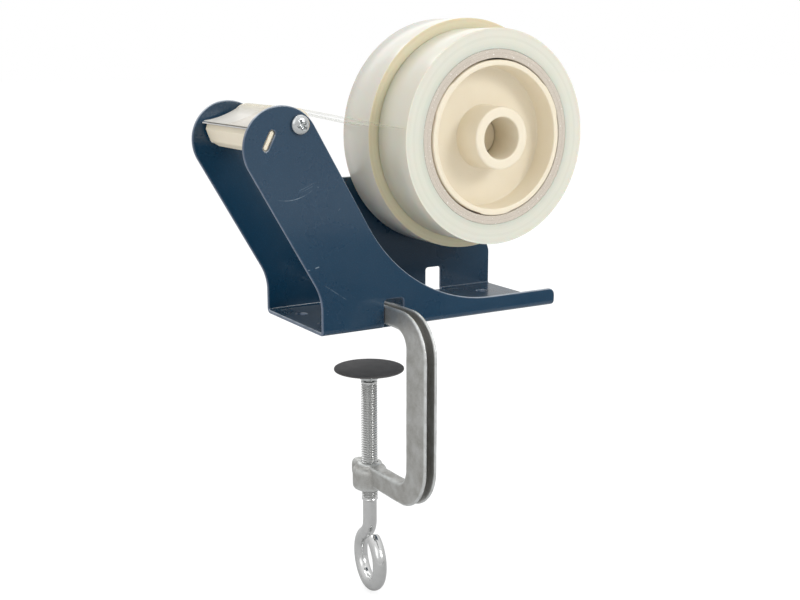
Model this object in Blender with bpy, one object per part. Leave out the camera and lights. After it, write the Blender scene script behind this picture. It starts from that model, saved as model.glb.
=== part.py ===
"""Bench tape dispenser with a screw clamp: two tape rolls on a spindle, a guide roller and a cutter in a bent steel channel.

Metres, +Z up. X runs from the cutting head (front, -X) to the tail (+X), Y across the channel, and the origin is the
middle of the floor's underside. The low cheek, where rolls slide on and the clamp enters, is at -Y. The dimensions
below are millimetres from the floor's front edge, which is DATUM.x before the origin.
"""

import math

import bmesh
import bpy
from mathutils import Matrix, Vector

MM = 0.001
DATUM = Vector((67.0, 0.0, 0.0))

# Driving dimensions, in millimetres
SHEET = 1.8
WIDTH = 60.0
LENGTH = 134.0
BEND_INSIDE = 1.0
GAP = 0.1

# Head of both cheeks: an arm that leans forward and ends in a half circle
ARM_LEAN = math.radians(30)
HEAD_X, HEAD_Z, HEAD_R = -18.4, 86.9, 18.3
TAIL_HEIGHT = 8.8
TAIL_SWEEP_R = 80.0
FRONT_BEND_R = 25.0
SHELF_Z = 65.5
REAR_WALL_Z = 27.0
LOBE_R = 20.0

# Spindle and rolls
SPINDLE_X, SPINDLE_Z = 98.5, 86.5
SPINDLE_R = 9.9
SPINDLE_TIP_Y = -11.0
SPINDLE_FLANGE_R, SPINDLE_FLANGE = 15.0, 1.7
BOLT_R, BOLT_BORE_R = 4.0, 4.15
BOLT_REACH = 22.0
HEX_ACROSS, HEX_HEIGHT = 13.0, 5.3
WASHER_R, WASHER = 8.5, 1.6
HUB_BORE_R, HUB_BOSS_R = 10.15, 15.0
HUB_RIM_IN, HUB_RIM_OUT = 34.6, 37.7
HUB_WIDTH, WEB_DEPTH, WEB = 26.3, 13.1, 2.6
CORE_IN, CORE_OUT = 38.1, 42.3
TAPE_WIDTH = 25.4
FRONT_TAPE_R, REAR_TAPE_R = 52.2, 57.3
FRONT_HUB_Y, REAR_HUB_Y = -27.2, -0.5
BOSS_PROUD = 3.3  # of the front hub's rim
FRONT_TAPE_Y, REAR_TAPE_Y = -26.6, -0.8

# Guide roller
GUIDE_X, GUIDE_Z = -9.9, 96.6
GUIDE_R, GUIDE_BORE_R = 7.0, 4.1
GUIDE_HALF = 27.2
AXLE_R, AXLE_TAP_R = 3.9, 2.35
SCREW_R, SCREW_REACH = 2.25, 12.0
PAN_R, PAN_HEIGHT = 4.4, 2.9

# Blade holder, its end tabs and the blade
TAB_LOW, TAB_HIGH = (-26.8, 85.8), (-22.3, 94.7)
TAB_THICK, SLOT_THICK = 2.1, 2.8
BLADE_TIP = (-31.9, 94.9)
BLADE_SLOPE = math.radians(12)
BLADE_WIDE, BLADE = 10.0, 0.6
TOOTH_PITCH, TOOTH_DEEP = 2.0, 1.4

# Tape strips from the rolls to the blade
STRIP = 0.3
STRIP_ROLL_Z = 92.5
STRIP_TIP = (-32.4, 96.05)

# Clamp
CLAMP_X, CLAMP_THICK = 36.5, 7.0
NOTCH_LOW, NOTCH_HIGH, NOTCH_TOP, NOTCH_FLOOR = 32.7, 43.2, 14.0, 1.0
WINDOW_LOW, WINDOW_HIGH = 92.8, 102.2
CLAMP_FLANGE = 1.5
ARM_END_Y = 8.0
SPINE_OUT_Y, SPINE_IN_Y = -64.7, -48.0
SCREW_Y = -8.2
BOSS_R, BOSS_LOW, BOSS_HIGH = 8.6, -87.0, -75.2
COLLAR_R, COLLAR_HIGH = 5.7, -73.4
THREAD_R, THREAD_BORE_R, SHANK_R = 3.9, 4.1, 3.5
THREAD_TOP, THREAD_END = -30.5, -93.0
TIP_R, TIP_TOP = 2.4, -27.2
EYE_Z, EYE_R = -125.4, 13.0
EYE_TURN = math.radians(8)
PAD_R, PAD_TOP, PAD = 17.3, -24.6, 2.2
SOCKET_R, SOCKET_LOW = 6.5, -32.4

MOUNT_HOLE_R = 2.75
MOUNT_HOLES = [(x, y) for x in (10.0, 118.0) for y in (-12.0, 12.0)]


def clear_scene():
    for item in list(bpy.data.objects):
        bpy.data.objects.remove(item, do_unlink=True)


def material(name, colour, roughness, metallic=0.0):
    made = bpy.data.materials.new(name)
    made.use_nodes = True
    shader = made.node_tree.nodes["Principled BSDF"]
    shader.inputs["Base Color"].default_value = (*colour, 1.0)
    shader.inputs["Roughness"].default_value = roughness
    shader.inputs["Metallic"].default_value = metallic
    return made


def empty(name, place):
    """An empty on a joint's axis, which carries the moving body's pieces. Its place is in millimetres."""
    made = bpy.data.objects.new(name, None)
    made.location = (Vector(place) - DATUM) * MM
    made.empty_display_size = 0.02
    bpy.context.scene.collection.objects.link(made)
    return made


def carry(parent, *names):
    """Pieces made in world coordinates take their origin from the empty on their joint's axis."""
    for name in names:
        piece = bpy.data.objects[name]
        piece.data.transform(Matrix.Translation(-parent.location))
        piece.parent = parent


def object_from(name, points, faces, finish, smooth=True):
    """A mesh object whose points are given in millimetres."""
    mesh = bpy.data.meshes.new(name)
    mesh.from_pydata([(Vector(p) - DATUM) * MM for p in points], [], faces)
    shape = bmesh.new()
    shape.from_mesh(mesh)
    bmesh.ops.recalc_face_normals(shape, faces=shape.faces)
    shape.to_mesh(mesh)
    shape.free()
    if smooth:
        mesh.shade_smooth()
        mesh.set_sharp_from_angle(angle=math.radians(35))
    made = bpy.data.objects.new(name, mesh)
    bpy.context.scene.collection.objects.link(made)
    if finish:
        mesh.materials.append(finish)
    return made


def prism(name, outline, low, high, axis, finish=None):
    """An outline extruded from low to high along an axis. It holds (x, z) for Y, (y, z) for X and (x, y) for Z."""
    place = {
        "X": lambda a, b, along: (along, a, b),
        "Y": lambda a, b, along: (a, along, b),
        "Z": lambda a, b, along: (a, b, along),
    }[axis]
    count = len(outline)
    points = [place(a, b, low) for a, b in outline] + [place(a, b, high) for a, b in outline]
    sides = [(i, (i + 1) % count, count + (i + 1) % count, count + i) for i in range(count)]
    ends = [tuple(range(count)), tuple(range(2 * count - 1, count - 1, -1))]
    return object_from(name, points, sides + ends, finish)


def turned(name, profile, centre, axis, finish=None, segments=48):
    """A closed profile of (radius, along) points turned about an axis through centre, (x, z) for Y and (x, y) for Z."""
    points, faces, rings = [], [], []
    for radius, along in profile:
        ring = []
        for step in range(segments if radius > 0 else 1):
            angle = 2 * math.pi * step / segments
            a = centre[0] + radius * math.cos(angle)
            b = centre[1] + radius * math.sin(angle)
            ring.append(len(points))
            points.append((a, along, b) if axis == "Y" else (a, b, along))
        rings.append(ring)
    for one, two in zip(rings, rings[1:] + rings[:1]):
        if len(one) == 1 and len(two) == 1:
            continue
        for step in range(segments):
            after = (step + 1) % segments
            corners = [one[step % len(one)], one[after % len(one)], two[after % len(two)], two[step % len(two)]]
            faces.append(tuple(dict.fromkeys(corners)))
    return object_from(name, points, faces, finish)


def rounded(corners, step=math.radians(7.5)):
    """An outline whose corners (a, b, radius) are replaced by arcs."""
    outline = []
    count = len(corners)
    for i, (a, b, radius) in enumerate(corners):
        here = Vector((a, b))
        if radius <= 0:
            outline.append((a, b))
            continue
        to_last = (Vector(corners[i - 1][:2]) - here).normalized()
        to_next = (Vector(corners[(i + 1) % count][:2]) - here).normalized()
        half = to_last.angle(to_next) / 2
        centre = here + (to_last + to_next).normalized() * (radius / math.sin(half))
        start = here + to_last * (radius / math.tan(half)) - centre
        turn = -start.angle_signed(here + to_next * (radius / math.tan(half)) - centre)
        steps = max(2, round(abs(turn) / step))
        for k in range(steps + 1):
            angle = turn * k / steps
            cos, sin = math.cos(angle), math.sin(angle)
            outline.append((centre.x + start.x * cos - start.y * sin, centre.y + start.x * sin + start.y * cos))
    return outline


def stadium(low, high, thick, steps=8):
    """A slot's outline between the two ends of its centre line, which include the rounding."""
    low, high = Vector(low), Vector(high)
    along = (high - low).normalized()
    side = Vector((-along.y, along.x))
    radius = thick / 2
    outline = []
    for centre, way in ((high - along * radius, 1), (low + along * radius, -1)):
        for k in range(steps + 1):
            angle = math.pi * k / steps
            point = centre - way * side * radius * math.cos(angle) + way * along * radius * math.sin(angle)
            outline.append(tuple(point))
    return outline


def cutter(made):
    made.hide_render = True
    made.display_type = "WIRE"
    return made


def boolean(target, other, operation, solver="EXACT"):
    change = target.modifiers.new(operation.lower() + "_" + other.name, "BOOLEAN")
    change.operation = operation
    change.object = other
    change.solver = solver
    return target


def cut(target, *others, solver="EXACT"):
    for other in others:
        boolean(target, cutter(other), "DIFFERENCE", solver)
    return target


def disc_profile(radius, low, high):
    return [(0, low), (radius, low), (radius, high), (0, high)]


def tube_profile(inner, outer, low, high):
    return [(inner, low), (outer, low), (outer, high), (inner, high)]


# ---------------------------------------------------------------- channel


def head_corners():
    """The rear and the front corner whose arcs make the round head, and where the arm's edges point."""
    up = Vector((-math.sin(ARM_LEAN), math.cos(ARM_LEAN)))
    side = Vector((math.cos(ARM_LEAN), math.sin(ARM_LEAN)))
    centre = Vector((HEAD_X, HEAD_Z))
    radius = HEAD_R - 0.01
    rear = centre + HEAD_R * (up + side)
    front = centre + HEAD_R * (up - side)
    return (*rear, radius), (*front, radius), centre + HEAD_R * side, centre - HEAD_R * side


def arm_edge_x(point, z):
    """Where the arm's edge through a point meets height z."""
    return point.x + (point.y - z) * math.tan(ARM_LEAN)


def near_outline():
    rear, front, rear_edge, front_edge = head_corners()
    bend_z = front_edge.y + front_edge.x / math.tan(ARM_LEAN)
    return rounded(
        [
            (0, 0, 0),
            (LENGTH, 0, 0),
            (LENGTH, TAIL_HEIGHT, 3.5),
            (arm_edge_x(rear_edge, TAIL_HEIGHT), TAIL_HEIGHT, TAIL_SWEEP_R),
            rear,
            front,
            (0, bend_z, FRONT_BEND_R),
        ]
    )


def far_outline():
    rear, front, rear_edge, front_edge = head_corners()
    bend_z = front_edge.y + front_edge.x / math.tan(ARM_LEAN)
    return rounded(
        [
            (0, 0, 0),
            (LENGTH, 0, 0),
            (LENGTH, REAR_WALL_Z, 8),
            (SPINDLE_X + LOBE_R, REAR_WALL_Z, 6),
            (SPINDLE_X + LOBE_R, SPINDLE_Z + LOBE_R, LOBE_R - 0.01),
            (SPINDLE_X - LOBE_R, SPINDLE_Z + LOBE_R, LOBE_R - 0.01),
            (SPINDLE_X - LOBE_R, SHELF_Z, 8),
            (arm_edge_x(rear_edge, SHELF_Z), SHELF_Z, 6),
            rear,
            front,
            (0, bend_z, FRONT_BEND_R),
        ]
    )


def channel(paint):
    """The folded sheet: a long U section, trimmed to the two cheek outlines, then punched."""
    half, inner = WIDTH / 2, WIDTH / 2 - SHEET
    top = HEAD_Z + HEAD_R + 10
    section = rounded(
        [
            (-half, top, 0),
            (-half, 0, BEND_INSIDE + SHEET),
            (half, 0, BEND_INSIDE + SHEET),
            (half, top, 0),
            (inner, top, 0),
            (inner, SHEET, BEND_INSIDE),
            (-inner, SHEET, BEND_INSIDE),
            (-inner, top, 0),
        ],
        step=math.radians(18),
    )
    sheet = prism("frame_channel", section, HEAD_X - HEAD_R - 10, LENGTH + 10, "X", paint)
    near = cutter(prism("trim_near", near_outline(), -half - 5, 5, "Y"))
    far = cutter(prism("trim_far", far_outline(), -5, half + 5, "Y"))
    # The two trims share most of their outline, and coincident faces need the MANIFOLD solver.
    boolean(near, far, "UNION", "MANIFOLD")
    boolean(sheet, near, "INTERSECT", "MANIFOLD")

    notch = rounded(
        [
            (NOTCH_LOW, NOTCH_FLOOR, 0),
            (NOTCH_HIGH, NOTCH_FLOOR, 0),
            (NOTCH_HIGH, NOTCH_TOP, 1.5),
            (NOTCH_LOW, NOTCH_TOP, 1.5),
        ],
        step=math.radians(22.5),
    )
    shift = WINDOW_LOW - NOTCH_LOW
    window = [(min(x + shift, WINDOW_HIGH), z) for x, z in notch]
    bend = BEND_INSIDE + SHEET
    cut(
        sheet,
        prism("punch_notch", notch, -half - 4, -half + bend, "Y"),
        prism("punch_window", window, half - bend, half + 4, "Y"),
        prism("punch_tab_slots", stadium(TAB_LOW, TAB_HIGH, SLOT_THICK), -half - 4, half + 4, "Y"),
        turned("punch_guide_holes", disc_profile(2.6, -half - 4, half + 4), (GUIDE_X, GUIDE_Z), "Y", segments=24),
        turned("punch_spindle_hole", disc_profile(4.3, 0, half + 4), (SPINDLE_X, SPINDLE_Z), "Y", segments=24),
        solver="MANIFOLD",
    )
    for i, place in enumerate(MOUNT_HOLES):
        hole = turned(f"punch_floor_{i}", disc_profile(MOUNT_HOLE_R, -3, SHEET + 3), place, "Z", segments=24)
        cut(sheet, hole, solver="MANIFOLD")
    return sheet


# ---------------------------------------------------------------- spindle and rolls


def spindle_parts(plastic, steel):
    centre = (SPINDLE_X, SPINDLE_Z)
    cheek_in, cheek_out = WIDTH / 2 - SHEET, WIDTH / 2
    flange = cheek_in - GAP
    turned(
        "spindle",
        [
            (0, SPINDLE_TIP_Y),
            (SPINDLE_R - 0.8, SPINDLE_TIP_Y),
            (SPINDLE_R, SPINDLE_TIP_Y + 0.8),
            (SPINDLE_R, flange - SPINDLE_FLANGE),
            (SPINDLE_FLANGE_R, flange - SPINDLE_FLANGE),
            (SPINDLE_FLANGE_R, flange),
            (BOLT_BORE_R, flange),
            (BOLT_BORE_R, flange - BOLT_REACH),
            (0, flange - BOLT_REACH),
        ],
        centre,
        "Y",
        plastic,
        32,
    )
    turned("spindle_washer", tube_profile(4.3, WASHER_R, cheek_out + GAP, cheek_out + GAP + WASHER), centre, "Y", steel, 32)
    seat = cheek_out + 2 * GAP + WASHER
    head_r = HEX_ACROSS / 2 / math.cos(math.pi / 6)
    hexagon = [
        (SPINDLE_X + head_r * math.cos(k * math.pi / 3), SPINDLE_Z + head_r * math.sin(k * math.pi / 3)) for k in range(6)
    ]
    bolt = prism("spindle_bolt", hexagon, seat, seat + HEX_HEIGHT, "Y", steel)
    shank = turned("bolt_shank", disc_profile(BOLT_R, flange - BOLT_REACH + 2, seat + 1), centre, "Y", segments=24)
    boolean(bolt, cutter(shank), "UNION")


def roll(prefix, hub_y, proud, tape_y, tape_r, plastic, card, film):
    """One hub, its boss standing proud of the rim at the front, with its cardboard core and its wound tape."""
    centre = (SPINDLE_X, SPINDLE_Z)
    front, back = hub_y, hub_y + HUB_WIDTH
    web_front, web_back = front + WEB_DEPTH, front + WEB_DEPTH + WEB
    turned(
        prefix + "_hub",
        [
            (HUB_BORE_R, front - proud),
            (HUB_BOSS_R, front - proud),
            (HUB_BOSS_R + 0.5, web_front),
            (HUB_RIM_IN - 0.5, web_front),
            (HUB_RIM_IN, front),
            (HUB_RIM_OUT, front),
            (HUB_RIM_OUT, back),
            (HUB_RIM_IN, back),
            (HUB_RIM_IN - 0.5, web_back),
            (HUB_BOSS_R + 0.5, web_back),
            (HUB_BOSS_R, back),
            (HUB_BORE_R, back),
        ],
        centre,
        "Y",
        plastic,
    )
    end = tape_y + TAPE_WIDTH
    turned(prefix + "_core", tube_profile(CORE_IN, CORE_OUT, tape_y, end), centre, "Y", card)
    turned(prefix + "_tape_roll", tube_profile(CORE_OUT + GAP, tape_r, tape_y, end), centre, "Y", film, 72)


def strip_path(tape_r):
    """The centre line (x, z) of a tape strip: roll, top of the guide roller, blade, with the free end flattening out."""
    radius = GUIDE_R + GAP + STRIP / 2
    guide = Vector((GUIDE_X, GUIDE_Z))
    rise = STRIP_ROLL_Z - SPINDLE_Z
    start = Vector((SPINDLE_X - math.sqrt((tape_r + 0.4) ** 2 - rise**2), STRIP_ROLL_Z))
    to_start = start - guide
    first = math.atan2(to_start.y, to_start.x) + math.acos(radius / to_start.length)
    leave_slope = math.radians(32)
    last = math.pi / 2 + leave_slope
    path = [tuple(start)]
    for k in range(7):
        angle = first + (last - first) * k / 6
        path.append((guide.x + radius * math.cos(angle), guide.y + radius * math.sin(angle)))
    leave = Vector(path[-1])
    tip = Vector(STRIP_TIP)
    reach = (leave - tip).length / 3
    handle_a = leave + Vector((-math.cos(leave_slope), -math.sin(leave_slope))) * reach
    end_slope = math.radians(8)
    handle_b = tip + Vector((math.cos(end_slope), math.sin(end_slope))) * reach
    for k in range(1, 9):
        t = k / 8
        point = leave * (1 - t) ** 3 + 3 * handle_a * t * (1 - t) ** 2 + 3 * handle_b * t * t * (1 - t) + tip * t**3
        path.append(tuple(point))
    return path


def strip(name, tape_y, tape_r, film):
    path = [Vector(p) for p in strip_path(tape_r)]
    above, below = [], []
    for i, point in enumerate(path):
        along = (path[min(i + 1, len(path) - 1)] - path[max(i - 1, 0)]).normalized()
        normal = Vector((along.y, -along.x)) * STRIP / 2
        above.append(tuple(point + normal))
        below.append(tuple(point - normal))
    return prism(name, above + below[::-1], tape_y, tape_y + TAPE_WIDTH, "Y", film)


# ---------------------------------------------------------------- head


def pan_profile(sign, seat):
    """A pan head screw with its shank, along Y. Sign is the way the head faces."""
    dome = [
        (PAN_R * math.cos(a), seat + sign * (0.9 + (PAN_HEIGHT - 0.9) * math.sin(a)))
        for a in (math.radians(18 * k) for k in range(5))
    ]
    return [
        (0, seat - sign * SCREW_REACH),
        (SCREW_R, seat - sign * SCREW_REACH),
        (SCREW_R, seat),
        (PAN_R, seat),
        *dome,
        (0, seat + sign * PAN_HEIGHT),
    ]


def guide_parts(plastic, steel):
    centre = (GUIDE_X, GUIDE_Z)
    inner = WIDTH / 2 - SHEET - GAP
    turned("guide_axle", tube_profile(AXLE_TAP_R, AXLE_R, -inner, inner), centre, "Y", steel, 32)
    crown = 0.6
    turned(
        "guide_roller",
        [
            (GUIDE_BORE_R, -GUIDE_HALF),
            (GUIDE_R - crown, -GUIDE_HALF),
            (GUIDE_R, -GUIDE_HALF + crown),
            (GUIDE_R, GUIDE_HALF - crown),
            (GUIDE_R - crown, GUIDE_HALF),
            (GUIDE_BORE_R, GUIDE_HALF),
        ],
        centre,
        "Y",
        plastic,
        32,
    )
    for name, sign in (("guide_screw_near", -1), ("guide_screw_far", 1)):
        turned(name, pan_profile(sign, sign * (WIDTH / 2 + GAP)), centre, "Y", steel, 20)


def blade_outline():
    back = Vector((math.cos(BLADE_SLOPE), math.sin(BLADE_SLOPE)))
    normal = Vector((-back.y, back.x))
    tip = Vector(BLADE_TIP)
    high = tip + normal * BLADE
    return [tuple(tip), tuple(tip + back * BLADE_WIDE), tuple(high + back * BLADE_WIDE), tuple(high)]


def blade_parts(plastic, steel):
    inner = WIDTH / 2 - SHEET - GAP
    back = Vector((math.cos(BLADE_SLOPE), math.sin(BLADE_SLOPE)))
    tip = Vector(BLADE_TIP)
    seat = tip + Vector((back.y, -back.x)) * GAP
    body = rounded(
        [
            (*(seat + back * 2.4), 0.4),
            (-30.6, 92.6, 0.8),
            (-28.6, 86.6, 0.6),
            (-24.4, 84.0, 0.8),
            (-20.4, 85.6, 0.8),
            (-18.4, 94.0, 0.8),
            (*(seat + back * 11.4), 0.8),
        ],
        step=math.radians(30),
    )
    holder = prism("blade_holder", body, -inner, inner, "Y", plastic)
    tabs = prism("holder_tabs", stadium(TAB_LOW, TAB_HIGH, TAB_THICK), -WIDTH / 2 + 0.2, WIDTH / 2 - 0.2, "Y")
    boolean(holder, cutter(tabs), "UNION")

    blade = prism("cutter_blade", blade_outline(), -inner + 1, inner - 1, "Y", steel)
    half = inner - 1
    count = round(2 * half / TOOTH_PITCH)
    pitch = 2 * half / count
    comb, depth = [], []
    for k in range(count):
        comb += [-half + k * pitch, -half + (k + 0.5) * pitch]
        depth += [TOOTH_DEEP, 0.0]
    comb.append(half)
    depth.append(TOOTH_DEEP)
    low, high = [], []
    for y, deep in zip([-half - 1, *comb, half + 1], [TOOTH_DEEP, *depth, TOOTH_DEEP]):
        edge = tip + back * (deep - 0.05)
        low.append((edge.x, y, edge.y - 3))
        high.append((edge.x, y, edge.y + 3))
    count = len(low)
    front_low = [(tip.x - 4, y, z - 1) for _, y, z in low]
    front_high = [(tip.x - 4, y, z - 1) for _, y, z in high]
    points = low + high + front_low + front_high
    faces = []
    for k in range(count - 1):
        faces.append((k, k + 1, count + k + 1, count + k))
        faces.append((2 * count + k, 3 * count + k, 3 * count + k + 1, 2 * count + k + 1))
        faces.append((k, 2 * count + k, 2 * count + k + 1, k + 1))
        faces.append((count + k, count + k + 1, 3 * count + k + 1, 3 * count + k))
    faces.append((0, count, 3 * count, 2 * count))
    faces.append((count - 1, 3 * count - 1, 4 * count - 1, 2 * count - 1))
    cut(blade, object_from("tooth_comb", points, faces, None, smooth=False))


# ---------------------------------------------------------------- clamp


def clamp_outline(inset=0.0, web=None):
    """The C frame's outline (y, z). With an inset and a web it is the groove down its outer side instead."""
    out_y, in_y = SPINE_OUT_Y, SPINE_IN_Y
    top, under = 11.2, SHEET + GAP
    low, shelf = -84.2, -73.2
    if web is None:
        return rounded(
            [
                (ARM_END_Y, under, 1.0),
                (ARM_END_Y, top - 1.4, 2.0),
                (-30, top, 0),
                (out_y, top, 20.2),
                (out_y, low, 22.5),
                (-16, low - 0.6, 0),
                (6, low + 2.4, 3.0),
                (6, shelf + 1.2, 3.0),
                (-16, shelf - 0.6, 0),
                (in_y, shelf, 9.0),
                (in_y, under, 8.5),
            ],
            step=math.radians(9),
        )
    return rounded(
        [
            (ARM_END_Y + 5, top - web, 0),
            (out_y + web * 1.9, top - web, 12.0),
            (out_y + web * 1.9, low + web, 12.0),
            (SCREW_Y - BOSS_R - 2, low + web, 0),
            (SCREW_Y - BOSS_R - 2, low - inset, 0),
            (out_y - inset, low - inset, 0),
            (out_y - inset, top + inset, 0),
            (ARM_END_Y + 5, top + inset, 0),
        ],
        step=math.radians(15),
    )


def clamp_parts(cast, steel, pad_black):
    low, high = CLAMP_X - CLAMP_THICK / 2, CLAMP_X + CLAMP_THICK / 2
    axis = (CLAMP_X, SCREW_Y)
    frame = prism("clamp_frame", clamp_outline(), low, high, "X", cast)
    cut(frame, prism("clamp_groove", clamp_outline(5.0, 5.5), low + CLAMP_FLANGE, high - CLAMP_FLANGE, "X"))
    boss = turned(
        "clamp_boss",
        [
            (0, BOSS_LOW),
            (BOSS_R - 1.2, BOSS_LOW),
            (BOSS_R, BOSS_LOW + 1.2),
            (BOSS_R, BOSS_HIGH - 1.2),
            (BOSS_R - 1.2, BOSS_HIGH),
            (COLLAR_R, BOSS_HIGH + 0.4),
            (COLLAR_R - 0.6, COLLAR_HIGH),
            (0, COLLAR_HIGH),
        ],
        axis,
        "Z",
        segments=32,
    )
    boolean(frame, cutter(boss), "UNION")
    cut(frame, turned("clamp_bore", disc_profile(THREAD_BORE_R, BOSS_LOW - 8, COLLAR_HIGH + 8), axis, "Z", segments=32))

    screw_parts(axis, steel)
    turned(
        "clamp_pad",
        [
            (0, PAD_TOP),
            (0, PAD_TOP - PAD),
            (PAD_R - 0.7, PAD_TOP - PAD),
            (PAD_R, PAD_TOP - PAD + 0.7),
            (PAD_R, PAD_TOP - 0.5),
            (PAD_R - 0.5, PAD_TOP),
        ],
        axis,
        "Z",
        pad_black,
        40,
    )
    seat = PAD_TOP - PAD - GAP
    turned(
        "pad_socket",
        [
            (TIP_R + 0.25, SOCKET_LOW + 2.2),
            (SOCKET_R - 1, SOCKET_LOW + 2.2),
            (SOCKET_R, SOCKET_LOW + 3.2),
            (SOCKET_R + 2.0, seat - 0.8),
            (SOCKET_R + 2.0, seat),
            (0, seat),
            (0, seat - 0.6),
            (SOCKET_R - 1.6, seat - 0.8),
            (SOCKET_R - 1.6, SOCKET_LOW + 3.4),
            (TIP_R + 0.25, SOCKET_LOW + 3.4),
        ],
        axis,
        "Z",
        steel,
        24,
    )


def screw_parts(axis, steel):
    """The clamp screw: a threaded rod with a turned tip, whose lower end is bent into an eye."""
    button_low, button_high = SOCKET_LOW + 3.7, PAD_TOP - PAD - GAP - 1.1
    rod = turned(
        "clamp_screw",
        [
            (0, button_high),
            (TIP_R + 1.4, button_high),
            (TIP_R + 1.4, button_low),
            (TIP_R, button_low),
            (TIP_R, THREAD_TOP - 0.6),
            (THREAD_R - 0.8, THREAD_TOP - 0.6),
            (THREAD_R, THREAD_TOP - 1.6),
            (THREAD_R, THREAD_END),
            (SHANK_R, THREAD_END - 0.6),
            (SHANK_R, EYE_Z + EYE_R + 9.2),
            (0, EYE_Z + EYE_R + 9.2),
        ],
        axis,
        "Z",
        steel,
        24,
    )
    boolean(rod, cutter(eye_loop(axis)), "UNION")


def eye_loop(axis):
    """The bent end of the rod: it swings out of the shank's line, runs round and ends just short of itself."""
    sides = 12
    first, last = math.radians(55), math.radians(-248)
    join = Vector((math.cos(first), math.sin(first))) * EYE_R
    heading = Vector((math.sin(first), -math.cos(first)))
    top = Vector((0, EYE_R + 8.4))
    handles = top + Vector((0, -5.0)), join - heading * 5.0
    path = [top + Vector((0, 1.5))]
    for k in range(6):
        t = k / 6
        u = 1 - t
        path.append(top * u**3 + 3 * handles[0] * u * u * t + 3 * handles[1] * u * t * t + join * t**3)
    steps = 26
    for k in range(steps + 1):
        angle = first + (last - first) * k / steps
        path.append(Vector((math.cos(angle), math.sin(angle))) * EYE_R)
    points, faces = [], []
    for i, here in enumerate(path):
        along = (path[min(i + 1, len(path) - 1)] - path[max(i - 1, 0)]).normalized()
        side = Vector((-along.y, along.x))
        for k in range(sides):
            angle = 2 * math.pi * k / sides
            flat = here + side * SHANK_R * math.cos(angle)
            depth = SHANK_R * math.sin(angle)
            # The loop's plane holds Z and the direction EYE_TURN away from Y.
            x = axis[0] + depth * math.cos(EYE_TURN) + flat.x * math.sin(EYE_TURN)
            y = axis[1] + flat.x * math.cos(EYE_TURN) - depth * math.sin(EYE_TURN)
            points.append((x, y, EYE_Z + flat.y))
    for i in range(len(path) - 1):
        for k in range(sides):
            after = (k + 1) % sides
            faces.append((i * sides + k, i * sides + after, (i + 1) * sides + after, (i + 1) * sides + k))
    faces.append(tuple(range(sides)))
    faces.append(tuple(range(len(points) - 1, len(points) - sides - 1, -1)))
    return object_from("eye_loop", points, faces, None)


def main():
    clear_scene()
    paint = material("blue_powder_coat", (0.012, 0.045, 0.105), 0.3)
    cream = material("cream_plastic", (0.83, 0.74, 0.58), 0.4)
    card = material("grey_cardboard", (0.52, 0.47, 0.41), 0.85)
    clear_film = material("clear_tape", (0.74, 0.76, 0.66), 0.25)
    white_film = material("white_tape", (0.78, 0.76, 0.70), 0.3)
    zinc = material("zinc_plated_steel", (0.72, 0.72, 0.70), 0.28, 1.0)
    cast = material("cast_alloy", (0.55, 0.56, 0.55), 0.45, 1.0)
    pad_black = material("black_pad", (0.06, 0.06, 0.065), 0.6)

    channel(paint)
    spindle_parts(cream, zinc)
    roll("front", FRONT_HUB_Y, BOSS_PROUD, FRONT_TAPE_Y, FRONT_TAPE_R, cream, card, clear_film)
    roll("rear", REAR_HUB_Y, 0.0, REAR_TAPE_Y, REAR_TAPE_R, cream, card, white_film)
    strip("front_tape_strip", FRONT_TAPE_Y, FRONT_TAPE_R, clear_film)
    strip("rear_tape_strip", REAR_TAPE_Y, REAR_TAPE_R, white_film)
    guide_parts(cream, zinc)
    blade_parts(cream, zinc)
    clamp_parts(cast, zinc, pad_black)

    carry(empty("axis_front_roll", (SPINDLE_X, 0, SPINDLE_Z)), "front_hub", "front_core", "front_tape_roll")
    carry(empty("axis_rear_roll", (SPINDLE_X, 0, SPINDLE_Z)), "rear_hub", "rear_core", "rear_tape_roll")
    carry(empty("axis_guide_roller", (GUIDE_X, 0, GUIDE_Z)), "guide_roller")
    carry(empty("axis_clamp", (CLAMP_X, SPINE_IN_Y, 0)), "clamp_frame")
    carry(empty("axis_screw", (CLAMP_X, SCREW_Y, EYE_Z)), "clamp_screw")
    carry(empty("axis_pad", (CLAMP_X, SCREW_Y, PAD_TOP)), "clamp_pad", "pad_socket")


main()
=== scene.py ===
"""Bench tape dispenser with a screw clamp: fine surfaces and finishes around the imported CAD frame."""

import math
import random

import bmesh
import bpy
from mathutils import Matrix, Vector, noise
from mathutils.geometry import tessellate_polygon


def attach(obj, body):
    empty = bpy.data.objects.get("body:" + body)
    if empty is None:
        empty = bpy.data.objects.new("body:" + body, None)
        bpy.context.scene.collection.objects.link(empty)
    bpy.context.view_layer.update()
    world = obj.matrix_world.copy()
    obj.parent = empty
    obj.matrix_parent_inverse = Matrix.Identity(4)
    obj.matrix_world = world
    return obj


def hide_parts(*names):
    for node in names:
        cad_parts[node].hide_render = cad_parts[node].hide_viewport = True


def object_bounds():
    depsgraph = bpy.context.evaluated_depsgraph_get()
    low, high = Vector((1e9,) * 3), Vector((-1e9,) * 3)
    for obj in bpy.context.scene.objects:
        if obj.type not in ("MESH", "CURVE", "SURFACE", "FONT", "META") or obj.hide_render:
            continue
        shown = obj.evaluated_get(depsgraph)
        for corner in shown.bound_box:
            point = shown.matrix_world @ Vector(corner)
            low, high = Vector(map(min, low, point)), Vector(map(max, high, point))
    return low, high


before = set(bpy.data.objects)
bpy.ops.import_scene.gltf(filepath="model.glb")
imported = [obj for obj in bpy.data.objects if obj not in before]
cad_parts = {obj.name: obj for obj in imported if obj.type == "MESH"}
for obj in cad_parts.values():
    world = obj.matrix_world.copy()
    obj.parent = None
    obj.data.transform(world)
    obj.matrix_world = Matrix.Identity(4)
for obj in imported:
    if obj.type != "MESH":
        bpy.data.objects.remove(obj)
cad_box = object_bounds()

MM = 0.001
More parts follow.
